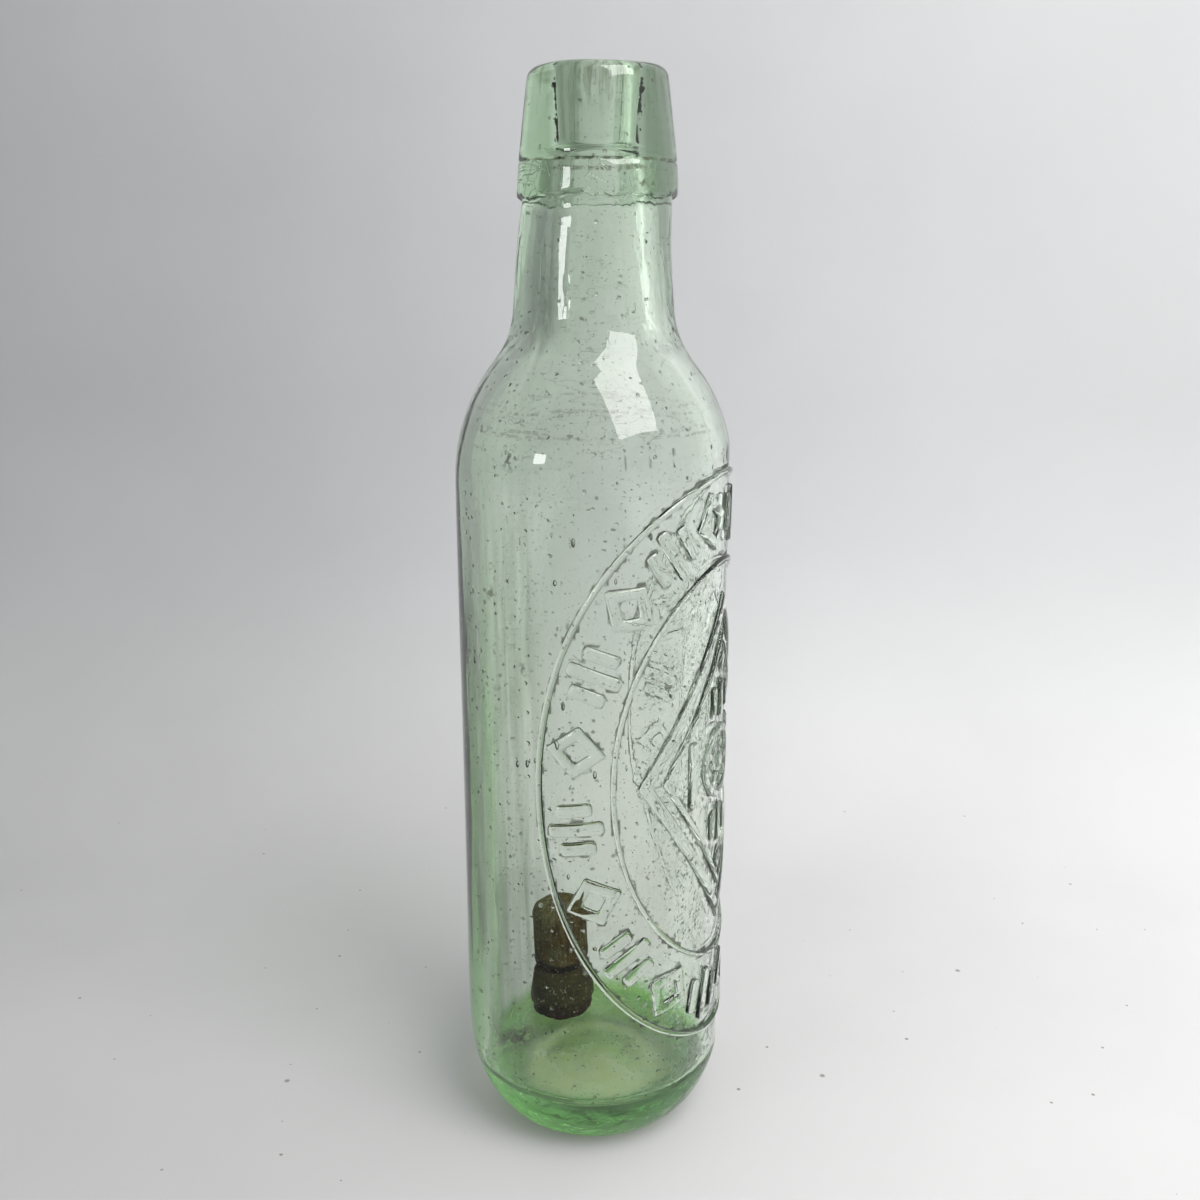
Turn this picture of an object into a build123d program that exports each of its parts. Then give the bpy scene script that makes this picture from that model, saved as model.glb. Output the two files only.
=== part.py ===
from build123d import *
import math
import os

# Mineral water bottle of pale aqua glass with an internal plug stopper, lengths in millimetres.
# It stands on z = 0 with its axis on Z. The reference view looks along +Y, with +X to the right.
# The stopper lies loose inside, where it has dropped to the floor behind and to the left of the axis.

# Body: blown in a mould, with straight sides, a deep round heel and a thick base pushed up underneath.
# A corner's curve takes the stated share of the shorter straight run beside that corner.
body_diameter = 60.0
body_wall = 3.6
shoulder_height = 164.5
shoulder_share = 0.63
heel_height = 24.0
heel_width = 14.4
standing_ring_width = 3.1
push_up_depth = 3.0
base_thickness = 12.0
floor_corner = 3.6

# Neck: a slow taper above the shoulder, broken off where the lip was laid on.
shoulder_rise = 16.9
neck_length = 31.6
neck_draw = 2.15
neck_wall = 7.45
neck_share = 0.27
bore_flare = 6.0
cavity_shoulder_drop = 2.2
cavity_shoulder_share = 0.48
cavity_neck_rise = 1.6
cavity_neck_share = 0.25

# Applied lip: a second gather of glass tooled into a rounded ring and a tapered collar.
lip_lap = 3.8
ring_height = 8.0
ring_proud = 1.25
ring_round_share = 0.88
groove_width = 0.9
groove_depth = 0.4
collar_inset = 0.45
collar_draw = 2.1
collar_height = 17.4
collar_edge_round = 2.6
mouth_bore_diameter = 10.8
mouth_round = 1.3
seat_rise = 5.2
seat_bite = 0.1
seat_round_share = 0.65

# Stopper: a turned wooden plug with a rubber ring stretched on its waist.
stopper_bearing = 122.0
stopper_lean = 4.0
stopper_wall_gap = 2.2
stopper_rest_gap = 0.1
foot_diameter = 15.2
foot_height = 4.0
foot_round = 0.8
waist_depth = 2.4
rubber_height = 8.2
rubber_top_diameter = 14.6
rubber_skirt_diameter = 18.0
rubber_round = 0.9
rubber_ease = 0.1
head_gap = 1.3
head_height = 16.2
head_top_diameter = 14.7
head_draw = 0.45
head_round_share = 0.61

# How far a cutting profile runs past the face that it opens.
overrun = 2.0

# Heights up the bottle, each one from the piece below it.
floor_crown_height = push_up_depth + base_thickness
neck_base_height = shoulder_height + shoulder_rise
neck_end_height = neck_base_height + neck_length
cavity_shoulder_height = shoulder_height - cavity_shoulder_drop
cavity_neck_height = neck_base_height + cavity_neck_rise
cavity_top_height = neck_end_height + overrun
ring_bottom_height = neck_end_height - lip_lap
groove_height = ring_bottom_height + ring_height
seat_height = neck_end_height + seat_rise
overall_height = groove_height + collar_height

# Radii, each one from the piece inside it: the seat is just too narrow for the stopper's head to pass.
head_top_radius = head_top_diameter / 2
head_base_radius = head_top_radius - head_draw
foot_radius = foot_diameter / 2
waist_radius = foot_radius - waist_depth
skirt_radius = rubber_skirt_diameter / 2
seat_radius = head_top_radius - seat_bite
mouth_radius = mouth_bore_diameter / 2
body_radius = body_diameter / 2
inner_radius = body_radius - body_wall
standing_radius = body_radius - heel_width
push_up_radius = standing_radius - standing_ring_width
push_up_curve = (push_up_radius**2 + push_up_depth**2) / (2 * push_up_depth)
stopper_offset = inner_radius - max(foot_radius + floor_corner, skirt_radius + stopper_wall_gap)
floor_dome_radius = stopper_offset / math.sin(math.radians(stopper_lean))


def bore_radius(height):
    """Inner radius of the neck at a height: it flares evenly downwards from the seat."""
    return seat_radius + (seat_height - height) * math.tan(math.radians(bore_flare))


neck_end_radius = bore_radius(neck_end_height) + neck_wall
neck_base_radius = neck_end_radius + neck_draw


def neck_radius(height):
    """Outer radius of the tapered neck at a height."""
    return neck_end_radius + neck_draw * (neck_end_height - height) / neck_length


def corner_curve(before, corner, after, run_share):
    """Radius of a corner's curve that starts at the given share of the shorter run beside it."""
    run_in = Vector(*corner) - Vector(*before)
    run_out = Vector(*after) - Vector(*corner)
    half_turn = math.radians(run_in.get_angle(run_out)) / 2
    return run_share * min(run_in.length, run_out.length) / math.tan(half_turn)


# Glass body with its base, shoulder and neck, one blown piece.
body_side = (body_radius, heel_height)
shoulder_corner = (body_radius, shoulder_height)
neck_corner = (neck_base_radius, neck_base_height)
neck_end = (neck_end_radius, neck_end_height)
cavity_side = (inner_radius, floor_crown_height)
cavity_shoulder = (inner_radius, cavity_shoulder_height)
cavity_neck = (bore_radius(cavity_neck_height), cavity_neck_height)
cavity_top = (bore_radius(cavity_top_height), cavity_top_height)
with BuildPart() as bottle_body:
    with BuildSketch(Plane.XZ):
        with BuildLine():
            heel = EllipticalCenterArc(
                (standing_radius, heel_height), heel_width, heel_height, start_angle=270, arc_size=90
            )
            FilletPolyline(
                heel @ 1,
                shoulder_corner,
                neck_corner,
                neck_end,
                (0, neck_end_height),
                radius=(
                    corner_curve(neck_corner, shoulder_corner, body_side, shoulder_share),
                    corner_curve(shoulder_corner, neck_corner, neck_end, neck_share),
                    0,
                ),
            )
            Line((0, neck_end_height), (0, push_up_depth))
            push_up_angle = math.degrees(math.asin(push_up_radius / push_up_curve))
            push_up = JernArc((0, push_up_depth), (1, 0), push_up_curve, -push_up_angle)
            Line(push_up @ 1, heel @ 0)
        make_face()
    revolve(axis=Axis.Z)

    with BuildSketch(Plane.XZ) as cavity:
        with BuildLine():
            dome_angle = math.degrees(math.asin(inner_radius / floor_dome_radius))
            dome = JernArc((0, floor_crown_height), (1, 0), floor_dome_radius, -dome_angle)
            FilletPolyline(
                dome @ 1,
                cavity_shoulder,
                cavity_neck,
                cavity_top,
                (0, cavity_top_height),
                radius=(
                    corner_curve(cavity_side, cavity_shoulder, cavity_neck, cavity_shoulder_share),
                    corner_curve(cavity_shoulder, cavity_neck, cavity_top, cavity_neck_share),
                    0,
                ),
            )
            Line((0, cavity_top_height), dome @ 0)
        make_face()
        floor_rim = cavity.vertices().sort_by_distance(dome @ 1)[0]
        fillet(floor_rim, floor_corner)
    revolve(axis=Axis.Z, mode=Mode.SUBTRACT)
bottle_body.part.label = "bottle_body"

# Applied lip: it laps the end of the neck, carries the mouth bore, and steps out below it to the seat.
ring_radius = neck_radius(ring_bottom_height) + ring_proud
collar_radius = ring_radius - collar_inset
with BuildPart() as applied_lip:
    with BuildSketch(Plane.XZ):
        with BuildLine():
            FilletPolyline(
                (neck_radius(ring_bottom_height), ring_bottom_height),
                (ring_radius, ring_bottom_height),
                (collar_radius, groove_height - groove_width / 2),
                (collar_radius - groove_depth, groove_height),
                (collar_radius, groove_height + groove_width / 2),
                (collar_radius - collar_draw, overall_height),
                (mouth_radius, overall_height),
                (mouth_radius, seat_height),
                (seat_radius, seat_height),
                (bore_radius(neck_end_height), neck_end_height),
                neck_end,
                radius=(
                    ring_round_share * ring_proud,
                    0,
                    0,
                    0,
                    collar_edge_round,
                    mouth_round,
                    seat_round_share * (seat_radius - mouth_radius),
                    0,
                    0,
                ),
            )
            Line(neck_end, (neck_radius(ring_bottom_height), ring_bottom_height))
        make_face()
    revolve(axis=Axis.Z)
applied_lip.part.label = "applied_lip"

# The stopper stands square on the domed floor, so it leans outwards by the slope of the floor there.
bearing = math.radians(stopper_bearing)
lean = math.radians(stopper_lean)
outward = Vector(math.cos(bearing), math.sin(bearing), 0)
stopper_axis = outward * math.sin(lean) + Vector(0, 0, 1) * math.cos(lean)
dome_centre = Vector(0, 0, floor_crown_height - floor_dome_radius)
stopper_base = dome_centre + stopper_axis * (floor_dome_radius + stopper_rest_gap)
sideways = Vector(0, 0, 1).cross(outward)
stopper_plane = Plane(origin=stopper_base, x_dir=sideways.cross(stopper_axis), z_dir=sideways * -1)
turning_axis = Axis(stopper_base, stopper_axis)

# Wooden plug: foot disc, waist and rounded head turned in one piece.
rubber_top = foot_height + rubber_height
head_base = rubber_top + head_gap
stopper_height = head_base + head_height
with BuildPart() as stopper_plug:
    with BuildSketch(stopper_plane):
        with BuildLine():
            FilletPolyline(
                (0, 0),
                (foot_radius, 0),
                (foot_radius, foot_height),
                (waist_radius, foot_height),
                (waist_radius, head_base),
                (head_base_radius, head_base),
                (head_top_radius, stopper_height),
                (0, stopper_height),
                radius=(foot_round, 0, 0, 0, foot_round, head_round_share * head_top_radius),
            )
            Line((0, stopper_height), (0, 0))
        make_face()
    revolve(axis=turning_axis)
stopper_plug.part.label = "stopper_plug"

# Rubber ring: it stands on the foot disc and flares downwards to a skirt.
rubber_bore_radius = waist_radius + rubber_ease
with BuildPart() as stopper_ring:
    with BuildSketch(stopper_plane):
        with BuildLine():
            FilletPolyline(
                (rubber_bore_radius, foot_height),
                (skirt_radius, foot_height),
                (rubber_top_diameter / 2, rubber_top),
                (rubber_bore_radius, rubber_top),
                radius=(rubber_round, rubber_round),
            )
            Line((rubber_bore_radius, rubber_top), (rubber_bore_radius, foot_height))
        make_face()
    revolve(axis=turning_axis)
stopper_ring.part.label = "stopper_ring"

os.makedirs("parts", exist_ok=True)
export_step(bottle_body.part, "parts/bottle_body.step")
export_step(applied_lip.part, "parts/applied_lip.step")
export_step(stopper_plug.part, "parts/stopper_plug.step")
export_step(stopper_ring.part, "parts/stopper_ring.step")
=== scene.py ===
import math
import random

import bpy
from mathutils import Matrix, Vector, noise


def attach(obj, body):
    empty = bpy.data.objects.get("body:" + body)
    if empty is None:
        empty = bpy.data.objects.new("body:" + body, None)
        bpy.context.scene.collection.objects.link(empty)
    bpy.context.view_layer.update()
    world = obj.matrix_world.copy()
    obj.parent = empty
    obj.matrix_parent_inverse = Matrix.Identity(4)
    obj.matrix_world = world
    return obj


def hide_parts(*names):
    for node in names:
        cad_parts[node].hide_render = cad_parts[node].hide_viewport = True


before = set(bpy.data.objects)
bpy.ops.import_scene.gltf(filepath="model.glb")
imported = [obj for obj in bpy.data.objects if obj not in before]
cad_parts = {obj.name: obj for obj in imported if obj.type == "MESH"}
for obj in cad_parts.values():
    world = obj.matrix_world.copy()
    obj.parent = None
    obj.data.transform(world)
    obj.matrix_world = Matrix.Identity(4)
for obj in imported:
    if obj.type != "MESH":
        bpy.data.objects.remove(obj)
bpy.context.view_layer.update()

# The bottle: pale aqua glass blown in a two-part mould, with straight sides, a deep round heel and a thick
# base. A second gather of glass was laid on the broken-off neck and tooled to a ring and a tapered collar.
# Its line is drawn as one closed half section, radius and height in millimetres, and turned on the axis.
mm = 0.001
turn_steps = 216
body_radius = 30
body_inside = 26.4
push_up_depth = 3.0
push_up_curve = 27.54
push_up_radii = (0, 2.5, 5, 7.5, 10, 12)
standing_ring = [(12.9, 0.02), (14.2, 0.0)]
heel_width = 14.4
heel_height = 24
heel_turns = range(3, 90, 4)
floor_crown = 15
floor_curve = 217.9
floor_rim_height = 13.4
wall_foot = 16
floor_corner = 3.6
floor_radii = (20, 17, 14, 11, 8, 5, 2.5, 0)
shoulder_height = 164.5
shoulder_inside = 162.3
neck_base_radius = 17.40
neck_base_height = 181.4
neck_inside_height = 183
neck_end_radius = 15.51
ring_height = 209.2
ring_radius = 16.76
ring_top_radius = 16.38
groove_height = 216.2
groove_radius = 16.08
groove_half = 0.4
collar_radius = 16.33
collar_top_radius = 14.2
overall_height = 234.6
lip_radius = 9
mouth_radius = 5.75
seat_height = 218.2
seat_radius = 7.25
below_seat = (7.58, 215)
bore_radius = 5.15
bore_slope = math.tan(math.radians(6))


def on_dome(radius, crown, curve):
    """A point of a shallow dome at a radius."""
    return (radius, crown - curve + math.sqrt(curve**2 - radius**2))


def on_heel(turn):
    """A point of the heel's quarter oval at a turn in degrees."""
    t = math.radians(turn)
    return (body_radius - heel_width + heel_width * math.sin(t), heel_height - heel_height * math.cos(t))


def on_neck_bore(height):
    """A point of the neck's inner wall, which flares evenly downwards from the seat."""
    return (seat_radius + (seat_height - height) * bore_slope, height)


def eased(before, corner, after, rounding, steps):
    """Points of the round corner between two straight runs."""
    before, corner, after = Vector(before), Vector(corner), Vector(after)
    back, on = (before - corner).normalized(), (after - corner).normalized()
    half = back.angle(on) / 2
    centre = corner + (back + on).normalized() * rounding / math.sin(half)
    first = corner + back * rounding / math.tan(half) - centre
    last = corner + on * rounding / math.tan(half) - centre
    sweep = first.angle_signed(last)
    return [tuple(centre + Matrix.Rotation(-sweep * i / steps, 2) @ first) for i in range(steps + 1)]


def section(corners):
    """A line through corners (radius, height, rounding, steps of the rounding, longest step after it)."""
    line = []
    for i, (radius, height, rounding, steps, gap) in enumerate(corners):
        if rounding:
            points = eased(corners[i - 1][:2], (radius, height), corners[i + 1][:2], rounding, steps)
        else:
            points = [(radius, height)]
        if line and corners[i - 1][4]:
            run = Vector(points[0]) - Vector(line[-1])
            count = math.ceil(run.length / corners[i - 1][4])
            line += [tuple(Vector(line[-1]) + run * k / count) for k in range(1, count)]
        line += points
    return line


def drawn(name, line):
    """A half section drawn as a line of edges, radius and height in millimetres."""
    bpy.ops.object.select_all(action="DESELECT")
    bpy.ops.mesh.primitive_plane_add(size=mm)
    piece = bpy.context.object
    piece.name = name
    bpy.ops.object.mode_set(mode="EDIT")
    bpy.ops.mesh.select_all(action="SELECT")
    bpy.ops.mesh.merge(type="CENTER")
    bpy.ops.transform.translate(value=(line[0][0] * mm, 0, line[0][1] * mm))
    for (r0, z0), (r1, z1) in zip(line, line[1:]):
        step = ((r1 - r0) * mm, 0, (z1 - z0) * mm)
        bpy.ops.mesh.extrude_region_move(TRANSFORM_OT_translate={"value": step})
    bpy.ops.object.mode_set(mode="OBJECT")
    return piece


def spin_drawn(steps):
    """Turns the line that was just drawn once round the axis and closes its skin."""
    bpy.ops.object.mode_set(mode="EDIT")
    bpy.ops.mesh.select_all(action="SELECT")
    bpy.ops.mesh.spin(steps=steps, angle=math.tau, center=(0, 0, 0), axis=(0, 0, 1))
    bpy.ops.mesh.select_all(action="SELECT")
    bpy.ops.mesh.remove_doubles(threshold=0.01 * mm)
    bpy.ops.mesh.normals_make_consistent(inside=False)
    bpy.ops.object.mode_set(mode="OBJECT")


outside = [on_dome(r, push_up_depth, push_up_curve) for r in push_up_radii] + standing_ring
outside += [on_heel(turn) for turn in heel_turns]
outside += section(
    [
        (body_radius, heel_height, 0, 0, 1.6),
        (body_radius, shoulder_height, 40.0, 16, 2),
        (neck_base_radius, neck_base_height, 19.3, 9, 2),
        (neck_end_radius, ring_height, 0.5, 2, 0.5),
        (ring_radius, ring_height, 1.1, 4, 1.5),
        (ring_top_radius, groove_height - groove_half, 0, 0, 0.4),
        (groove_radius, groove_height, 0, 0, 0.4),
        (collar_radius, groove_height + groove_half, 0, 0, 1.6),
        (collar_top_radius, overall_height, 2.6, 7, 1.5),
        (lip_radius, overall_height, 0, 0, 0),
    ]
)
inside = section(
    [
        (lip_radius, overall_height, 0, 0, 1.2),
        (mouth_radius, overall_height, 1.3, 5, 2),
        (bore_radius, seat_height, 1.5, 5, 0.8),
        (seat_radius, seat_height, 0.4, 3, 2),
        (*below_seat, 0, 0, 2),
        (*on_neck_bore(neck_inside_height), 23.5, 9, 2),
        (body_inside, shoulder_inside, 37.3, 14, 3.1),
        (body_inside, wall_foot, 0, 0, 0),
    ]
)[1:-1]
floor_rim = (body_inside, floor_rim_height)
inside += eased((body_inside, shoulder_inside), floor_rim, (0, floor_crown), floor_corner, 6)
inside += [on_dome(r, floor_crown, floor_curve) for r in floor_radii]
glass = drawn("glass_bottle", outside + inside)
glass.vertex_groups.new(name="outside").add(list(range(len(outside))), 1.0, "REPLACE")
spin_drawn(turn_steps)

# The unevenness of hand work: a slack inner wall, faint sags outside, the two mould seams, a wavy lower
# edge where the lip's gather laps the neck, and a lip that stands a little to one side.
# A zone is a stretch of height: low end, where it is full, where it is full to, and high end.
on_axis = 1e-4
wall_sag = 0.11
heel_sag = 0.22
heel_zone = (2, 8, 22, 34)
seam_bearings = (-35, 145)
seam_height = 0.17
seam_reach = 1.4
seam_zone = (10, 30, 198, 206)
ring_lines = (163.4, 167.6)
ring_line_depth = 0.07
ring_line_reach = 1.6
lap_wave = 1.1
lap_top = 213
groove_wave = 0.45
groove_zone = (214, 219)
mouth_sag = 0.35
mouth_sag_from = 228
push_up_swirl = 0.5
push_up_top = 3.2
push_up_edge = 12.8
floor_sag = 0.25
floor_top = 20
wall_slack = 0.10
wall_zone = (20, 34, 168, 182)
bore_slack = 0.06
lip_offset = 0.9
lip_lean = (196, 214)
panel_side = math.radians(68.75)
panel_height = 90.3
panel_ground = 29.17
oval_width = 48.0
oval_height = 64.0
ground_edge_shares = (1.03, 1.9)


def smooth(low, high, value):
    """0 below low, 1 above high, and an even curve between."""
    t = min(1.0, max(0.0, (value - low) / (high - low)))
    return t * t * (3 - 2 * t)


def within(zone, value):
    """1 in the middle of a zone and 0 outside it."""
    return smooth(zone[0], zone[1], value) * (1 - smooth(zone[2], zone[3], value))


def panel_share(side, height):
    """1 on the sunk oval ground that carries the raised pattern, 0 away from it."""
    along = math.remainder(side - panel_side, math.tau) * body_radius
    reach = math.hypot(along / oval_width, (height - panel_height) / oval_height)
    return 1 - smooth(*ground_edge_shares, reach)


def outer_move(side, radius, z, slow, fine):
    """How far a point of the outer wall moves outwards."""
    if z <= 1:
        return 0.0
    move = -wall_sag - 0.07 * slow - 0.04 * fine
    move -= heel_sag * (0.5 + 0.5 * fine) * within(heel_zone, z)
    for seam in seam_bearings:
        off_seam = abs(math.remainder(side - math.radians(seam), math.tau)) * radius
        move += seam_height * (1 - smooth(0, seam_reach, off_seam)) * within(seam_zone, z)
    for ring_line in ring_lines:
        hollow = ring_line_depth * (1 - smooth(0, ring_line_reach, abs(z - ring_line)))
        move -= hollow * smooth(-0.3, 0.2, slow)
    sunk = panel_share(side, z)
    return (1 - sunk) * move + sunk * (min(0, panel_ground - radius) - 0.02 - 0.03 * fine)


outside_group = glass.vertex_groups["outside"].index
for vertex in glass.data.vertices:
    x, y, z = vertex.co / mm
    radius = math.hypot(x, y)
    if radius < on_axis:
        continue
    around = Vector((x / radius, y / radius, 0))
    slow = noise.noise(around * 1.3 + Vector((3, 1, z * 0.012)))
    fine = noise.noise(around * 5.5 + Vector((7, 5, z * 0.045)))
    bands = noise.noise(around * 7 + Vector((2, 9, z * 0.006)))
    if any(g.group == outside_group for g in vertex.groups):
        move = outer_move(math.atan2(x, -y), radius, z, slow, fine)
        if z < push_up_top and radius < push_up_edge:
            swirl = noise.noise(Vector((x, y, 0)) * 0.16) + 0.6 * noise.noise(Vector((x, y, 9)) * 0.4)
            z += push_up_swirl * swirl * (1 - smooth(9, push_up_edge, radius))
        radius += move
        if 206 < z < lap_top:
            wave = lap_wave * noise.noise(around * 2.6) + 0.5 * noise.noise(around * 9)
            z += wave * (1 - smooth(209.8, lap_top, z))
        if groove_zone[0] < z < groove_zone[1]:
            z += groove_wave * noise.noise(around * 1.8 + Vector((0, 4, 0)))
        if z > mouth_sag_from:
            sag = mouth_sag * (0.5 + 0.5 * noise.noise(around * 1.4 + Vector((5, 0, 0))))
            z -= sag * smooth(mouth_sag_from, overall_height, z)
    else:
        radius += (wall_slack + 0.06 * slow + 0.03 * fine + 0.05 * bands) * within(wall_zone, z)
        if z > wall_zone[3]:
            radius += bore_slack * (1 + slow)
        if z < floor_top:
            z -= floor_sag * (1 + noise.noise(Vector((x, y, 0)) * 0.11))
    lean = lip_offset * smooth(*lip_lean, z)
    vertex.co = Vector((around.x * radius + lean, around.y * radius, z)) * mm

# The raised pattern of the mould's oval plate: two oval lines with a band of lozenges and reeds between
# them, and framed lozenges with a flower in the middle. It is cut flat, bevelled, bent round the bottle
# and joined to the wall. Sizes are in millimetres, along the girth and up from the plate's centre.
relief_height = 0.79
relief_root = 0.8
relief_bevel = 0.72
cut_gap = 1.5
line_margin = 0.7
inner_width = 32.4
inner_height = 45.9
band_width = 40.2
band_height = 55.0
mark_count = 20
lozenge_width = 5.9
lozenge_height = 6.6
reed_width = 3.0
reeds = ((-4.3, 8.0), (0, 12.2), (4.3, 8.0))
frames = ((26.5, 38.5, 2.8), (20.8, 30.2, 1.6))
flower_radius = 8.4
eye_radius = 1.9
petal_count = 8
petal_reach = 4.3
petal_width = 1.2
petal_length = 1.9
side_bar_reach = 11.8
side_bar_length = 15
short_bar_reach = 14.6
short_bar_length = 8.6
short_bar_width = 2.4
short_bar_gap = 3.8
tip_reach = 23.4
tip_width = 2.0
tip_height = 2.9
flats = []


def lay_flat(centre, turn, stroke=0.0):
    """Finishes the flat shape being edited: opens it to a frame if it has a stroke, and puts it in place."""
    if stroke:
        bpy.ops.mesh.select_all(action="SELECT")
        bpy.ops.mesh.inset(thickness=stroke * mm, use_even_offset=True)
        bpy.ops.mesh.delete(type="FACE")
    bpy.ops.object.mode_set(mode="OBJECT")
    flat = bpy.context.object
    place = Matrix.Translation((centre[0] * mm, centre[1] * mm, 0)) @ Matrix.Rotation(turn, 4, "Z")
    flat.data.transform(place)
    flats.append(flat)


def outline(corners, half_width, half_height, centre=(0, 0), turn=0.0, stroke=0.0):
    """A round, lozenge or polygon with its corners on an oval, open inside if it has a stroke."""
    bpy.ops.object.select_all(action="DESELECT")
    bpy.ops.mesh.primitive_circle_add(vertices=corners, radius=mm, fill_type="NGON")
    bpy.ops.object.mode_set(mode="EDIT")
    bpy.ops.mesh.select_all(action="SELECT")
    bpy.ops.transform.resize(value=(half_width, half_height, 1))
    lay_flat(centre, turn, stroke)


def bar(width, length, centre=(0, 0), turn=0.0):
    """A bar with eased ends."""
    bpy.ops.object.select_all(action="DESELECT")
    bpy.ops.mesh.primitive_plane_add(size=mm)
    bpy.ops.object.mode_set(mode="EDIT")
    bpy.ops.mesh.select_all(action="SELECT")
    bpy.ops.transform.resize(value=(width, length, 1))
    bpy.ops.mesh.bevel(offset=0.3 * width * mm, segments=2, affect="VERTICES")
    lay_flat(centre, turn)


outline(160, oval_width + line_margin, oval_height + line_margin, stroke=1.4)
outline(120, inner_width, inner_height, stroke=1.2)
for i in range(mark_count):
    t = math.tau * (i + 0.5) / mark_count
    middle = (band_width * math.cos(t), band_height * math.sin(t))
    turn = math.atan2(middle[1] / band_height**2, middle[0] / band_width**2) - math.pi / 2
    across = Vector((math.cos(turn), math.sin(turn)))
    if i % 2:
        outline(4, lozenge_width, lozenge_height, middle, turn, stroke=2.5)
    else:
        for step, length in reeds:
            bar(reed_width, length, (middle[0] + across.x * step, middle[1] + across.y * step), turn)
for width, height, stroke in frames:
    outline(4, width, height, stroke=stroke)
outline(32, flower_radius, flower_radius, stroke=2.0)
outline(24, eye_radius, eye_radius)
for i in range(petal_count):
    t = math.tau * i / petal_count
    middle = (petal_reach * math.cos(t), petal_reach * math.sin(t))
    outline(4, petal_width, petal_length, middle, t - math.pi / 2)
for side in (-1, 1):
    bar(2.8, side_bar_length, (side_bar_reach * side, 0))
    for step in (-1, 0, 1):
        length = short_bar_length - 2.4 * abs(step)
        bar(short_bar_width, length, (short_bar_gap * step, short_bar_reach * side))
    outline(4, tip_width, tip_height, (0, tip_reach * side))

bpy.ops.object.select_all(action="DESELECT")
for flat in flats:
    flat.select_set(True)
bpy.context.view_layer.objects.active = flats[0]
bpy.ops.object.join()
relief = bpy.context.object
relief.name = "relief"
thicken = relief.modifiers.new("thicken", "SOLIDIFY")
thicken.thickness = (relief_height + relief_root) * mm
thicken.offset = 1
bpy.ops.object.modifier_apply(modifier="thicken")
ease = relief.modifiers.new("ease", "BEVEL")
ease.width = relief_bevel * mm
ease.segments = 3
ease.limit_method = "ANGLE"
ease.angle_limit = math.radians(50)
bpy.ops.object.modifier_apply(modifier="ease")
bpy.ops.object.mode_set(mode="EDIT")
cuts = math.ceil(oval_width / cut_gap) + 1
for i in range(-cuts, cuts + 1):
    bpy.ops.mesh.select_all(action="SELECT")
    bpy.ops.mesh.bisect(plane_co=(i * cut_gap * mm, 0, 0), plane_no=(1, 0, 0))
bpy.ops.mesh.select_all(action="SELECT")
bpy.ops.mesh.normals_make_consistent(inside=False)
bpy.ops.object.mode_set(mode="OBJECT")
for vertex in relief.data.vertices:
    along, up, out = vertex.co / mm
    side = panel_side + along / body_radius
    radius = panel_ground - relief_root + out
    vertex.co = Vector((math.sin(side) * radius, -math.cos(side) * radius, panel_height + up)) * mm
bpy.ops.object.select_all(action="DESELECT")
glass.select_set(True)
bpy.context.view_layer.objects.active = glass
fuse = glass.modifiers.new("fuse", "BOOLEAN")
fuse.operation = "UNION"
fuse.solver = "MANIFOLD"
fuse.object = relief
bpy.ops.object.modifier_apply(modifier="fuse")
bpy.data.objects.remove(relief)

# Seeds: small gas bubbles left in the glass, drawn out along the height. Each is a closed hollow in the
# wall. Most lie in the body, every sixth in the neck and every sixth in the base.
seed_count = 90
seed_sizes = (0.14, 0.18, 0.24, 0.3, 0.42)
random.seed(7)
bpy.ops.object.select_all(action="DESELECT")
bpy.ops.mesh.primitive_ico_sphere_add(subdivisions=2, radius=mm)
seed = bpy.context.object
bpy.ops.object.mode_set(mode="EDIT")
bpy.ops.mesh.select_all(action="SELECT")
bpy.ops.mesh.flip_normals()
bpy.ops.object.mode_set(mode="OBJECT")
seeds = []
for i in range(seed_count):
    bubble = seed.copy()
    bubble.data = seed.data.copy()
    bpy.context.scene.collection.objects.link(bubble)
    side = random.uniform(-math.pi, math.pi)
    height = random.uniform(30, 150)
    width = random.choice(seed_sizes)
    radius = random.uniform(27.9, 28.6)
    if i % 6 == 0:
        height = random.uniform(186, 214)
        radius = random.uniform(11.8, 13.8)
    if i % 6 == 1:
        height = random.uniform(4.5, 11.5)
        radius = random.uniform(3, 19)
    place = Matrix.Translation(Vector((math.sin(side) * radius, -math.cos(side) * radius, height)) * mm)
    bubble.data.transform(place @ Matrix.Diagonal((width, width, width * random.uniform(1, 2.4), 1)))
    seeds.append(bubble)
bpy.data.objects.remove(seed)
bpy.ops.object.select_all(action="DESELECT")
for bubble in seeds:
    bubble.select_set(True)
glass.select_set(True)
bpy.context.view_layer.objects.active = glass
bpy.ops.object.join()

# The corners of the raised pattern are marked in an attribute, because grime gathers in them. Edges that
# turn by more than 20 degrees on the plate are its corners, and only those over 40 stay sharp to the eye.
plate_heights = (26 * mm, 156 * mm)
corner_radii = (28.8 * mm, 29.5 * mm)
bpy.ops.object.shade_smooth_by_angle(angle=math.radians(20))
crease = glass.data.attributes.new("crease", "FLOAT", "POINT")
sharp = glass.data.attributes["sharp_edge"].data
for edge in glass.data.edges:
    if sharp[edge.index].value:
        for v in edge.vertices:
            co = glass.data.vertices[v].co
            on_wall = corner_radii[0] < math.hypot(co.x, co.y) < corner_radii[1]
            if on_wall and plate_heights[0] < co.z < plate_heights[1]:
                crease.data[v].value = 1.0
bpy.ops.object.shade_smooth_by_angle(angle=math.radians(40), keep_sharp_edges=False)


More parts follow.
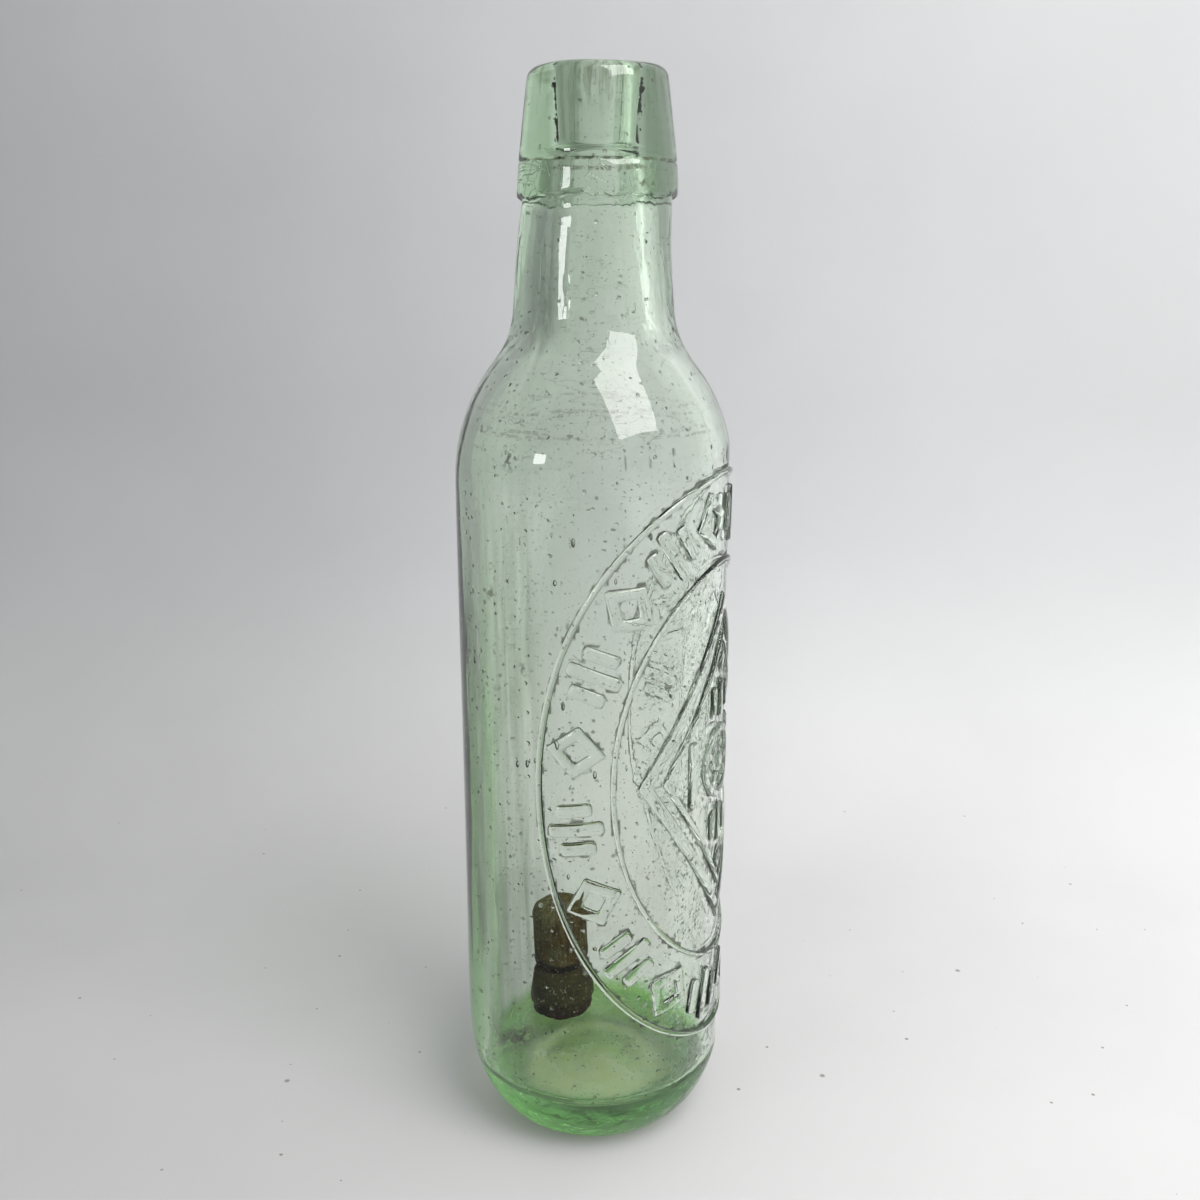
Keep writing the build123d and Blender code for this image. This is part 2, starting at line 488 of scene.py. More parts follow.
# The glass has its colour in its depth. Its surfaces carry what a century in the ground leaves: pits,
# brown specks, grime in the corners of the pattern and a cloudy film. There is also painted shade on the
# pits' lower edges, and a dark brown patch on the floor inside.
def feed(tree, node, inputs):
    """Gives a node its inputs: each is a plain value or the output of another node."""
    for name, value in inputs.items():
        if isinstance(value, bpy.types.NodeSocket):
            tree.links.new(value, node.inputs[name])
        else:
            node.inputs[name].default_value = value


def put(tree, kind, inputs=None, **settings):
    """Adds a shader node with its settings and inputs."""
    made = tree.nodes.new(kind)
    for name, value in settings.items():
        setattr(made, name, value)
    feed(tree, made, inputs or {})
    return made


def result_of(tree, operation, *values, clamp=False):
    """The result of a Math node."""
    inputs = dict(enumerate(values))
    return put(tree, "ShaderNodeMath", inputs, operation=operation, use_clamp=clamp).outputs[0]


def joined(tree, operation, values):
    """One Math operation carried through a row of values."""
    made = values[0]
    for value in values[1:]:
        made = result_of(tree, operation, made, value)
    return made


def product(tree, *values):
    """The values multiplied."""
    return joined(tree, "MULTIPLY", values)


def total(tree, *values):
    """The values added."""
    return joined(tree, "ADD", values)


def most(tree, *values):
    """The greatest of the values."""
    return joined(tree, "MAXIMUM", values)


def distance_from(tree, value, level):
    """How far a value is from a level, on either side."""
    return result_of(tree, "ABSOLUTE", result_of(tree, "SUBTRACT", value, level))


def ramp(tree, value, low, high, to_low=0.0, to_high=1.0):
    """A value carried from low..high to to_low..to_high along an even curve."""
    inputs = {"Value": value, "From Min": low, "From Max": high, "To Min": to_low, "To Max": to_high}
    return put(tree, "ShaderNodeMapRange", inputs, interpolation_type="SMOOTHSTEP").outputs[0]


def between(tree, value, low, full_low, full_high, high):
    """1 from full_low to full_high, and 0 below low and above high."""
    return product(tree, ramp(tree, value, low, full_low), ramp(tree, value, high, full_high))


def cloud(tree, vector, scale, detail=2.0, stretch=(1, 1, 1)):
    """Noise of about one patch to each 1/scale millimetres, drawn out by stretch."""
    spread = put(tree, "ShaderNodeMapping", {"Vector": vector, "Scale": stretch}).outputs[0]
    inputs = {"Vector": spread, "Scale": scale, "Detail": detail}
    return put(tree, "ShaderNodeTexNoise", inputs).outputs[0]


def patches(tree, vector, scale, detail, low, high, stretch=(1, 1, 1)):
    """Patches of that noise: 0 where it is below low, 1 where it is above high."""
    return ramp(tree, cloud(tree, vector, scale, detail, stretch), low, high)


def net(tree, vector, scale, width):
    """Fine lines along the edges of a random cell pattern."""
    inputs = {"Vector": vector, "Scale": scale}
    cells = put(tree, "ShaderNodeTexVoronoi", inputs, feature="DISTANCE_TO_EDGE")
    return ramp(tree, cells.outputs["Distance"], width, 0.0)


def two_colours(tree, share, first, second):
    """The first colour where share is 0 and the second where it is 1."""
    return put(tree, "ShaderNodeMix", {0: share, 6: first, 7: second}, data_type="RGBA").outputs[2]


def layered(tree, colour, layers):
    """A colour with layers over it, each one a share and its colour."""
    for share, laid in layers:
        colour = two_colours(tree, share, colour, laid)
    return colour


def in_millimetres(tree):
    """The piece's own coordinates in millimetres, and their three parts."""
    own = put(tree, "ShaderNodeTexCoord").outputs["Object"]
    vector = put(tree, "ShaderNodeVectorMath", {0: own, "Scale": 1000.0}, operation="SCALE").outputs[0]
    parts = put(tree, "ShaderNodeSeparateXYZ", {0: vector}).outputs
    return vector, parts[0], parts[1], parts[2]


def near_point(tree, vector, point, inner, outer):
    """1 within inner millimetres of a point, 0 beyond outer."""
    gap = put(tree, "ShaderNodeVectorMath", {0: vector, 1: point}, operation="DISTANCE").outputs["Value"]
    return ramp(tree, gap, outer, inner)


def bump(tree, height, strength):
    """The normal of a surface whose height is given in millimetres."""
    inputs = {"Height": height, "Strength": strength, "Distance": mm}
    return put(tree, "ShaderNodeBump", inputs).outputs[0]


# Pits and specks: in some of the cells of a random pattern lies one round spot.
spots_tree = bpy.data.node_groups.new("spots", "ShaderNodeTree")
for title, kind in (("Vector", "Vector"), ("Scale", "Float"), ("Size", "Float"), ("Share", "Float")):
    spots_tree.interface.new_socket(title, in_out="INPUT", socket_type="NodeSocket" + kind)
for title in ("Mask", "Depth"):
    spots_tree.interface.new_socket(title, in_out="OUTPUT", socket_type="NodeSocketFloat")
given = spots_tree.nodes.new("NodeGroupInput").outputs
result = spots_tree.nodes.new("NodeGroupOutput").inputs
inputs = {"Vector": given["Vector"], "Scale": 1.6, "Detail": 1.0}
warp = put(spots_tree, "ShaderNodeTexNoise", inputs).outputs["Color"]
bent = put(spots_tree, "ShaderNodeVectorMath", {0: warp, "Scale": 0.55}, operation="SCALE").outputs[0]
inputs = {0: given["Vector"], 1: bent}
bent = put(spots_tree, "ShaderNodeVectorMath", inputs, operation="ADD").outputs[0]
cells = put(spots_tree, "ShaderNodeTexVoronoi", {"Vector": bent, "Scale": given["Scale"]}).outputs
parts = put(spots_tree, "ShaderNodeSeparateColor", {0: cells["Color"]}).outputs
chosen = result_of(spots_tree, "LESS_THAN", parts[0], given["Share"])
reach = product(spots_tree, given["Size"], total(spots_tree, parts[1], 0.35))
near = result_of(spots_tree, "DIVIDE", cells["Distance"], reach)
for title, full in (("Mask", 0.72), ("Depth", 0.1)):
    spots_tree.links.new(product(spots_tree, chosen, ramp(spots_tree, near, 1.0, full)), result[title])


def spots(tree, vector, scale, size, share):
    """The spots group with its values: a mask and a depth."""
    inputs = {"Vector": vector, "Scale": scale, "Size": size, "Share": share}
    group = put(tree, "ShaderNodeGroup", inputs, node_tree=spots_tree)
    return group.outputs["Mask"], group.outputs["Depth"]


aqua = bpy.data.materials.new("aqua_glass")
aqua.use_nodes = True
tree = aqua.node_tree
tree.nodes.clear()
vector, x, y, z = in_millimetres(tree)
radius = result_of(tree, "SQRT", total(tree, product(tree, x, x), product(tree, y, y)))
broad = cloud(tree, vector, 0.06, 3)

# Pits, each with painted shade along its lower edge, flecks, dust, and the roughened side.
pit_mask, pit_depth = spots(tree, vector, 0.45, 0.19, 0.46)
inputs = {0: vector, 1: (0.22, 0.1, 0.3)}
shifted = put(tree, "ShaderNodeVectorMath", inputs, operation="ADD").outputs[0]
shifted_mask, _ = spots(tree, shifted, 0.45, 0.19, 0.46)
# Painted shade: a dark crescent along the lower edge of each pit.
pit_painted_shade = result_of(tree, "SUBTRACT", pit_mask, shifted_mask, clamp=True)
fleck_mask, _ = spots(tree, vector, 0.27, 0.11, 0.42)
dust_mask, _ = spots(tree, vector, 1.1, 0.2, 0.3)
_, rough_depth = spots(tree, vector, 0.8, 0.6, 0.6)
worn_side = product(tree, ramp(tree, x, 6, 20), between(tree, z, 12, 26, 120, 150))
roughened = product(tree, rough_depth, worn_side, ramp(tree, broad, 0.40, 0.56))

# Grime: in the pattern's corners, in a few clumps, in the lip's cracks and groove, and on the two rings.
crease_value = put(tree, "ShaderNodeAttribute", attribute_name="crease").outputs["Fac"]
corner_dirt = product(tree, ramp(tree, crease_value, 0.2, 0.6), patches(tree, vector, 0.22, 4, 0.44, 0.55))
clump_share = near_point(tree, vector, (-17.2, -24.6, 158.8), 0.8, 3.2)
for point in ((-14.7, -26.2, 115.9), (9.3, -14.2, 211.6), (-21.5, -20.9, 130.5)):
    clump_share = most(tree, clump_share, near_point(tree, vector, point, 0.5, 2.4))
clumps = product(tree, clump_share, patches(tree, vector, 0.8, 4, 0.46, 0.56))
cracks = product(
    tree,
    net(tree, vector, 0.3, 0.022),
    ramp(tree, z, 208, 210),
    ramp(tree, radius, 15.2, 15.8),
    ramp(tree, z, 217, 215.5),
    patches(tree, vector, 0.16, 2, 0.45, 0.6),
)
off_groove = distance_from(tree, z, groove_height)
groove_dirt = product(tree, ramp(tree, off_groove, 0.45, 0.15), patches(tree, vector, 0.5, 3, 0.42, 0.55))
off_rings = joined(tree, "MINIMUM", [distance_from(tree, z, height) for height in ring_lines])
rings_dirt = product(tree, ramp(tree, off_rings, 0.5, 0.1), patches(tree, vector, 0.7, 5, 0.48, 0.6))
drips = product(tree, ramp(tree, z, 222, 234), patches(tree, vector, 0.6, 4, 0.53, 0.62, (1, 1, 0.18)))

# Scuffs on the shoulder, a dark brown patch and the film on the floor inside, streaks of film on the
# left, and tints that are greener along the left edge and greyer on the neck's left.
scuffs = product(
    tree,
    ramp(tree, distance_from(tree, cloud(tree, vector, 0.16, 3, (0.5, 0.5, 1.6)), 0.5), 0.006, 0.0),
    between(tree, z, 150, 165, 195, 205),
    ramp(tree, broad, 0.5, 0.6),
)
# A dark brown patch on the floor inside, to the left of the plug.
dark_floor_patch = product(
    tree,
    near_point(tree, vector, (-20.2, 0.6, 16.5), 3.5, 8.5),
    ramp(tree, radius, 28, 27),
    patches(tree, vector, 0.4, 4, 0.30, 0.52),
)
floor_film = product(
    tree,
    between(tree, z, 13, 14, 17, 18.5),
    ramp(tree, radius, 26, 24.5),
    ramp(tree, cloud(tree, vector, 0.22, 4), 0.3, 0.7, 0.45, 1.0),
)
streak_film = product(
    tree,
    ramp(tree, x, -8, -20),
    patches(tree, vector, 0.3, 3, 0.4, 0.62, (1, 1, 0.08)),
    between(tree, z, 12, 24, 130, 160),
)
heel_share = product(tree, ramp(tree, z, 18, 11), ramp(tree, radius, 14, 20))
# Greener along the left edge, more so low down.
greener_left_edge = product(tree, ramp(tree, x, -25, -28), ramp(tree, z, 150, 75, 0.2, 1.0))
lip_sides = product(tree, ramp(tree, z, 207, 210), ramp(tree, distance_from(tree, x, lip_offset), 8.3, 9.8))
neck_left = product(tree, ramp(tree, x, -6, -10), between(tree, z, 178, 186, 206, 209))

# Colours of the glass and of what lies on it, laid over one another in this order.
# Greyer towards the left and in broad random patches, more so higher up.
greying = total(tree, ramp(tree, x, 12, -16, 0.0, 0.7), ramp(tree, broad, 0.35, 0.75, 0.0, 0.3))
greying = product(tree, greying, ramp(tree, z, 70, 125, 0.25, 1.0))
clean = two_colours(tree, greying, (0.985, 1.0, 0.975, 1), (0.90, 0.95, 0.89, 1))
heel_tint = two_colours(tree, ramp(tree, x, 6, 18), (0.33, 0.80, 0.20, 1), (0.17, 0.60, 0.10, 1))
tint = layered(
    tree,
    clean,
    (
        (heel_share, heel_tint),
        (lip_sides, (0.48, 0.59, 0.46, 1)),
        (streak_film, (0.70, 0.76, 0.68, 1)),
        (greener_left_edge, (0.34, 0.66, 0.27, 1)),
        (neck_left, (0.64, 0.67, 0.64, 1)),
        (product(tree, roughened, 0.3), (0.52, 0.76, 0.49, 1)),
        (product(tree, dust_mask, 0.7), (0.16, 0.15, 0.08, 1)),
        # Painted shade along the lower edges of the pits.
        (product(tree, pit_painted_shade, 0.8), (0.07, 0.065, 0.03, 1)),
        (product(tree, fleck_mask, 0.8), (0.06, 0.045, 0.012, 1)),
        (product(tree, most(tree, corner_dirt, clumps), 0.9), (0.03, 0.02, 0.007, 1)),
        (floor_film, (0.99, 0.99, 0.50, 1)),
        (dark_floor_patch, (0.04, 0.024, 0.006, 1)),
        (product(tree, drips, 0.7), (0.17, 0.20, 0.09, 1)),
        (product(tree, most(tree, cracks, scuffs), 0.7), (0.14, 0.13, 0.08, 1)),
        (product(tree, rings_dirt, 0.45), (0.16, 0.13, 0.06, 1)),
        (groove_dirt, (0.10, 0.09, 0.05, 1)),
    ),
)

# Roughness, and the fine relief of the skin in millimetres.
rough = most(
    tree,
    ramp(tree, cloud(tree, vector, 0.09, 3, (1, 1, 0.35)), 0.45, 0.8, 0.012, 0.07),
    product(tree, most(tree, corner_dirt, dark_floor_patch), 0.5),
    product(tree, most(tree, fleck_mask, pit_painted_shade), 0.35),
    product(tree, most(tree, floor_film, ramp(tree, z, 5.0, 3.2)), 0.4),
    product(tree, heel_share, 0.08),
)
ripples = product(tree, cloud(tree, vector, 0.4, 2, (1, 1, 0.14)), between(tree, z, 178, 184, 205, 208))
height = total(
    tree,
    product(tree, cloud(tree, vector, 0.2, 2, (1, 1, 0.12)), 0.045),
    product(tree, pit_depth, -0.16),
    product(tree, roughened, -0.10),
    product(tree, heel_share, cloud(tree, vector, 0.24, 2), 0.4),
    product(tree, cracks, -0.05),
    product(tree, ripples, 0.14),
)
shader = put(
    tree,
    "ShaderNodeBsdfPrincipled",
    {
        "Base Color": tint,
        "Roughness": rough,
        "IOR": 1.52,
        "Transmission Weight": 1.0,
        "Normal": bump(tree, height, 1.0),
    },
)

# Lamplight passes through the glass with its own colour, so that the shadow is lit as behind real glass.
heel_skin = product(
    tree,
    ramp(tree, z, 30, 20),
    ramp(tree, radius, 16, 18),
    ramp(tree, total(tree, z, radius), 34, 38),
)
lamp_colour = two_colours(tree, ramp(tree, z, 21, 17), (0.81, 0.82, 0.81, 1), (1, 1, 0.97, 1))
lamp_colour = two_colours(tree, heel_skin, lamp_colour, (0.50, 0.56, 0.48, 1))
lamp_pass = put(tree, "ShaderNodeBsdfTransparent", {"Color": lamp_colour})
is_lamp = put(tree, "ShaderNodeLightPath").outputs["Is Shadow Ray"]
mixed = put(tree, "ShaderNodeMixShader", {0: is_lamp, 1: shader.outputs[0], 2: lamp_pass.outputs[0]})
depth_colour = put(tree, "ShaderNodeVolumeAbsorption", {"Color": (0.10, 0.56, 0.06, 1), "Density": 17.5})
put(tree, "ShaderNodeOutputMaterial", {"Surface": mixed.outputs[0], "Volume": depth_colour.outputs[0]})
glass.data.materials.clear()
glass.data.materials.append(aqua)
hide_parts("bottle_body", "applied_lip")
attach(glass, "bottle")

# Grime in the mouth: two fine upright cracks in the wall of the bore, one at each side, which the years in
# the ground have filled with black crust. They reach about half a millimetre into the glass.
crust_bearings = (-101.5, 101.5)
crust_columns = 8
crust_rows = 90
crust_middle = 225.1
crust_length = 12.6
crust_reach = 0.55
crust_skin = 0.04
crust_thickness = 0.08
bore_taper = (mouth_radius - bore_radius) / (overall_height - seat_height)
crusts = []
for bearing in crust_bearings:
    bpy.ops.object.select_all(action="DESELECT")
    bpy.ops.mesh.primitive_grid_add(x_subdivisions=crust_columns, y_subdivisions=crust_rows, size=1)
    crust = bpy.context.object
    bpy.ops.object.mode_set(mode="EDIT")
    bpy.ops.mesh.select_mode(type="FACE")
    bpy.ops.mesh.select_all(action="DESELECT")
    bpy.ops.object.mode_set(mode="OBJECT")
    for face in crust.data.polygons:
        u, v = face.center.x, face.center.y
        ragged = noise.noise(Vector((u, v * 9, bearing)))
        ragged += 0.7 * noise.noise(Vector((u * 3, v * 34, bearing)))
        face.select = 0.55 + 0.9 * ragged < u + 0.5
    bpy.ops.object.mode_set(mode="EDIT")
    bpy.ops.mesh.delete(type="FACE")
    bpy.ops.mesh.select_mode(type="VERT")
    bpy.ops.object.mode_set(mode="OBJECT")
    for vertex in crust.data.vertices:
        u, v, _ = vertex.co
        z = crust_middle + crust_length * v
        side = math.radians(bearing + 1.5 * noise.noise(Vector((3, v * 6, bearing))))
        radius = bore_radius + (z - seat_height) * bore_taper + crust_skin + crust_reach * (u + 0.5)
        vertex.co = Vector((lip_offset + math.sin(side) * radius, -math.cos(side) * radius, z)) * mm
    thicken = crust.modifiers.new("thicken", "SOLIDIFY")
    thicken.thickness = crust_thickness * mm
    thicken.offset = 0
    bpy.ops.object.modifier_apply(modifier="thicken")
    crusts.append(crust)
bpy.ops.object.select_all(action="DESELECT")
for crust in crusts:
    crust.select_set(True)
bpy.context.view_layer.objects.active = crusts[0]
bpy.ops.object.join()
crust = bpy.context.object
crust.name = "bore_crust"
bpy.ops.object.mode_set(mode="EDIT")
bpy.ops.mesh.select_all(action="SELECT")
bpy.ops.mesh.normals_make_consistent(inside=False)
bpy.ops.object.mode_set(mode="OBJECT")


def plain_finish(name):
    """A new material, its tree, and the shader that comes with it."""
    made = bpy.data.materials.new(name)
    made.use_nodes = True
    return made, made.node_tree, made.node_tree.nodes["Principled BSDF"]


grime, tree, shader = plain_finish("bore_grime")
vector, x, y, z = in_millimetres(tree)
grime_share = patches(tree, vector, 1.2, 4, 0.4, 0.7)
colour = two_colours(tree, grime_share, (0.006, 0.006, 0.003, 1), (0.045, 0.042, 0.024, 1))
dullness = ramp(tree, cloud(tree, vector, 2.0, 3), 0.3, 0.7, 0.7, 0.95)
feed(tree, shader, {"Base Color": colour, "Roughness": dullness})
crust.data.materials.clear()
crust.data.materials.append(grime)
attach(crust, "bottle")

# The plug: hardwood turned in one piece, with a rounded head, a waist and a foot disc. It has lain wet for
# years, so its grain stands open and its edges are worn. It stands on the floor and leans outwards.
stopper_base = Vector((-8.058, 12.896, 14.569))
stopper_axis = Vector((-0.03697, 0.05916, 0.99756))
stopper_steps = 96
foot_radius = 7.55
foot_height = 4.0
waist_radius = 5.2
head_base = 13.5
head_base_radius = 6.95
head_top_radius = 7.33
plug_height = 29.65
grain_depth = 0.10
lump_depth = 0.14
check_depth = 0.22
head_edge_top = 17
foot_wear_top = 2.5
plug_line = section(
    [
        (0, 0, 0, 0, 0.8),
        (foot_radius, 0, 1.0, 4, 0.6),
        (foot_radius, foot_height, 0.5, 3, 0.6),
        (waist_radius, foot_height, 0, 0, 1.0),
        (waist_radius, head_base, 0, 0, 0.6),
        (head_base_radius, head_base, 1.1, 5, 0.6),
        (head_top_radius, plug_height, 4.6, 10, 0.6),
        (0, plug_height, 0, 0, 0),
    ]
)
plug = drawn("wooden_plug", plug_line)
spin_drawn(stopper_steps)
stand = Matrix.Translation(stopper_base * mm) @ stopper_axis.to_track_quat("Z", "Y").to_matrix().to_4x4()
to_world = stand.to_3x3()
for vertex in plug.data.vertices:
    x, y, z = vertex.co / mm
    radius = math.hypot(x, y)
    if radius < on_axis:
        continue
    around = Vector((x / radius, y / radius, 0))
    right = (to_world @ vertex.co).x / mm
    grain_lines = noise.noise(Vector((around.x * 9, around.y * 9, z * 0.09)))
    lumps = noise.noise(Vector((around.x * 2, around.y * 2, z * 0.22)))
    check = smooth(0.3, 0.5, noise.noise(Vector((around.x * 4 + 9, around.y * 4, z * 0.04))))
    wear = grain_depth * (1 + grain_lines) + lump_depth * (1 + lumps)
    radius -= wear + check_depth * check * smooth(4, 7, radius)
    if 12.5 < z < head_edge_top:
        z += (0.085 * right + 0.25 * lumps) * (1 - smooth(14.6, head_edge_top, z))
    if z < foot_wear_top:
        z = max(z, 0.17 * (right + 3) * smooth(3.0, 7.0, radius))
    vertex.co = Vector((around.x * radius, around.y * radius, z)) * mm


def stand_in_place(piece):
    """Puts a turned piece of the stopper where the stopper stands, and smooths its rounds."""
    piece.data.transform(stand)
    bpy.ops.object.select_all(action="DESELECT")
    piece.select_set(True)
    bpy.context.view_layer.objects.active = piece
    bpy.ops.object.shade_smooth_by_angle(angle=math.radians(50))


stand_in_place(plug)
wood, tree, shader = plain_finish("stopper_wood")
vector, x, y, z = in_millimetres(tree)
fibres = cloud(tree, vector, 1.5, 5, (1, 1, 0.16))
blotches = cloud(tree, vector, 0.19, 4)
salt_mask, _ = spots(tree, vector, 1.3, 0.36, 0.5)
crumb_mask, _ = spots(tree, vector, 0.42, 0.16, 0.3)
bare = two_colours(tree, ramp(tree, fibres, 0.32, 0.68), (0.055, 0.033, 0.005, 1), (0.19, 0.125, 0.028, 1))
paler_wood = two_colours(tree, ramp(tree, fibres, 0.3, 0.7), (0.13, 0.118, 0.034, 1), (0.30, 0.28, 0.12, 1))
# Paler in random blotches, and more so towards the top left of the head.
light_side = product(tree, ramp(tree, z, 30, 44), ramp(tree, x, -6.5, -12.5))
paler_share = ramp(tree, total(tree, product(tree, light_side, 0.28), blotches), 0.46, 0.72)
wet = ramp(tree, z, 19.5, 17.0)
# Painted shade: near black across the gap between the rubber ring and the head.
painted_gap_shade = between(tree, z, 25.8, 26.8, 28.8, 29.6)
colour = layered(
    tree,
    bare,
    (
        (paler_share, paler_wood),
        (product(tree, wet, 0.92), (0.022, 0.005, 0.001, 1)),
        (product(tree, painted_gap_shade, 0.95), (0.003, 0.002, 0.001, 1)),
        (product(tree, crumb_mask, 0.5), (0.022, 0.014, 0.006, 1)),
        (product(tree, salt_mask, ramp(tree, z, 18, 21, 0.3, 0.75)), (0.46, 0.45, 0.32, 1)),
    ),
)
height = total(
    tree,
    product(tree, fibres, 0.5),
    product(tree, crumb_mask, -0.25),
    product(tree, salt_mask, 0.15),
)
dullness = ramp(tree, blotches, 0.3, 0.7, 0.62, 0.9)
feed(tree, shader, {"Base Color": colour, "Roughness": dullness, "Normal": bump(tree, height, 0.9)})
shader.inputs["Specular IOR Level"].default_value = 0.2
plug.data.materials.append(wood)
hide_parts("stopper_plug")
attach(plug, "stopper")

# The ring: black-brown rubber stretched round the waist, flared downwards to a skirt. It has perished, so
# its skin is crazed and dusty, and it sits a little askew.
ring_bore = 5.25
ring_foot = 4.1
ring_top = 12.1
ring_shoulder = 7.2
skirt_radius = 8.95
rubber_lumps = 0.16
rubber_pocks = 0.07
ring_line = section(
    [
        (ring_bore, ring_foot, 0, 0, 0.7),
        (skirt_radius, ring_foot, 1.0, 5, 0.7),
        (ring_shoulder, ring_top, 0.9, 5, 0.7),
        (ring_bore, ring_top, 0, 0, 1.0),
        (ring_bore, ring_foot, 0, 0, 0),
    ]
)
ring = drawn("rubber_ring", ring_line)
spin_drawn(stopper_steps)
for vertex in ring.data.vertices:
    x, y, z = vertex.co / mm
    radius = math.hypot(x, y)
    around = Vector((x / radius, y / radius, 0))
    right = (to_world @ vertex.co).x / mm
    lumps = noise.noise(Vector((around.x * 3 + 2, around.y * 3, z * 0.3)))
    fine = noise.noise(Vector((around.x * 10, around.y * 10, z * 0.8)))
    radius -= (rubber_lumps * (1 + lumps) + rubber_pocks * (1 + fine)) * smooth(5.3, 6.2, radius)
    z += 0.07 * right - 0.12 + 0.2 * lumps * smooth(5.4, 7, radius)
    vertex.co = Vector((around.x * radius, around.y * radius, z)) * mm
stand_in_place(ring)

rubber, tree, shader = plain_finish("stopper_rubber")
vector, x, y, z = in_millimetres(tree)
mottle = cloud(tree, vector, 0.3, 5)
skin = cloud(tree, vector, 1.8, 5)
salt_mask, _ = spots(tree, vector, 1.3, 0.36, 0.45)
craze = net(tree, vector, 0.9, 0.07)
black = two_colours(tree, ramp(tree, mottle, 0.36, 0.66), (0.032, 0.024, 0.003, 1), (0.088, 0.072, 0.013, 1))
colour = layered(
    tree,
    black,
    (
        (ramp(tree, skin, 0.45, 0.75), (0.13, 0.11, 0.028, 1)),
        (product(tree, craze, 0.6), (0.012, 0.009, 0.004, 1)),
        (product(tree, salt_mask, 0.7), (0.42, 0.41, 0.28, 1)),
    ),
)
height = total(tree, product(tree, skin, 0.4), product(tree, craze, -0.2))
dullness = ramp(tree, mottle, 0.3, 0.7, 0.55, 0.85)
feed(tree, shader, {"Base Color": colour, "Roughness": dullness, "Normal": bump(tree, height, 0.8)})
shader.inputs["Specular IOR Level"].default_value = 0.3
ring.data.materials.append(rubber)
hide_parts("stopper_ring")
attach(ring, "stopper")

# The stage: one sheet of pale paper that runs back from the bottle and turns up behind it. Sizes of the
# stage are in metres, and those in its finish in millimetres.
sheet_size = (4, 0.31, 1)
sheet_place = (0, 0.095, -0.0002)
sheet_rise = (0, 0.04, 1.6)
sheet_bend = 0.14
bpy.ops.object.select_all(action="DESELECT")
bpy.ops.mesh.primitive_plane_add(size=1)
sweep = bpy.context.object
sweep.name = "paper_sweep"
bpy.ops.object.mode_set(mode="EDIT")
bpy.ops.mesh.select_all(action="SELECT")
bpy.ops.transform.resize(value=sheet_size)
bpy.ops.transform.translate(value=sheet_place)
bpy.ops.mesh.select_all(action="DESELECT")
bpy.ops.object.mode_set(mode="OBJECT")
for edge in sweep.data.edges:
    edge.select = all(sweep.data.vertices[v].co.y > 0 for v in edge.vertices)
bpy.ops.object.mode_set(mode="EDIT")
bpy.ops.mesh.select_mode(type="EDGE")
bpy.ops.mesh.extrude_region_move(TRANSFORM_OT_translate={"value": sheet_rise})
bpy.ops.object.mode_set(mode="OBJECT")
turn_up = sweep.modifiers.new("turn_up", "BEVEL")
turn_up.width = sheet_bend
turn_up.segments = 16
turn_up.limit_method = "ANGLE"
bpy.ops.object.modifier_apply(modifier="turn_up")
bpy.ops.object.shade_smooth()

paper, tree, shader = plain_finish("pale_paper")
vector, x, y, z = in_millimetres(tree)
sheet = result_of(tree, "SUBTRACT", cloud(tree, vector, 0.006, 3), 0.5)
mottle = result_of(tree, "SUBTRACT", cloud(tree, vector, 0.016, 4), 0.5)
uneven = total(tree, product(tree, sheet, 160), product(tree, mottle, 90))
# Painted light: the paper darkens to the left and lightens to the right along an uneven line, and the lying
# part is painted lighter than the upright part.
across = ramp(tree, total(tree, x, uneven), -330, 330)
upright = two_colours(tree, across, (0.40, 0.40, 0.41, 1), (0.66, 0.67, 0.68, 1))
lying = two_colours(tree, across, (0.45, 0.45, 0.45, 1), (0.79, 0.79, 0.79, 1))
grit = put(tree, "ShaderNodeTexVoronoi", {"Vector": vector, "Scale": 0.045}, voronoi_dimensions="2D")
grit_pick = put(tree, "ShaderNodeSeparateColor", {0: grit.outputs["Color"]}).outputs
grit_size = product(tree, result_of(tree, "GREATER_THAN", grit_pick[0], 0.45), grit_pick[1], 0.022)
grit_mask = result_of(tree, "LESS_THAN", grit.outputs["Distance"], grit_size)
for point in ((56.7, 5.1, 0), (103.2, 55.2, 0), (-76.1, 3.0, 0)):
    grit_mask = most(tree, grit_mask, near_point(tree, vector, point, 0.3, 1.0))
# Painted light: under the bottle the paper is white and glows, which brightens the glass floor.
painted_light_under_base = near_point(tree, vector, (0, 0, 0), 14, 17)
colour = layered(
    tree,
    lying,
    (
        (ramp(tree, z, 0, 90), upright),
        (product(tree, grit_mask, ramp(tree, z, 10, 2), 0.75), (0.16, 0.14, 0.11, 1)),
        (painted_light_under_base, (1, 1, 1, 1)),
    ),
)
# Painted light: the paper glows far out at both sides, standing in for white cards that light the bottle,
# and under the bottle.
painted_glow = layered(
    tree,
    (0, 0, 0, 1),
    (
        (ramp(tree, x, 290, 480), (0.42, 0.43, 0.42, 1)),
        (ramp(tree, x, -290, -480), (0.16, 0.165, 0.16, 1)),
        (painted_light_under_base, (0.14, 0.14, 0.11, 1)),
    ),
)
feed(tree, shader, {"Base Color": colour, "Emission Color": painted_glow})
shader.inputs["Emission Strength"].default_value = 1.0
shader.inputs["Roughness"].default_value = 0.75
sweep.data.materials.append(paper)

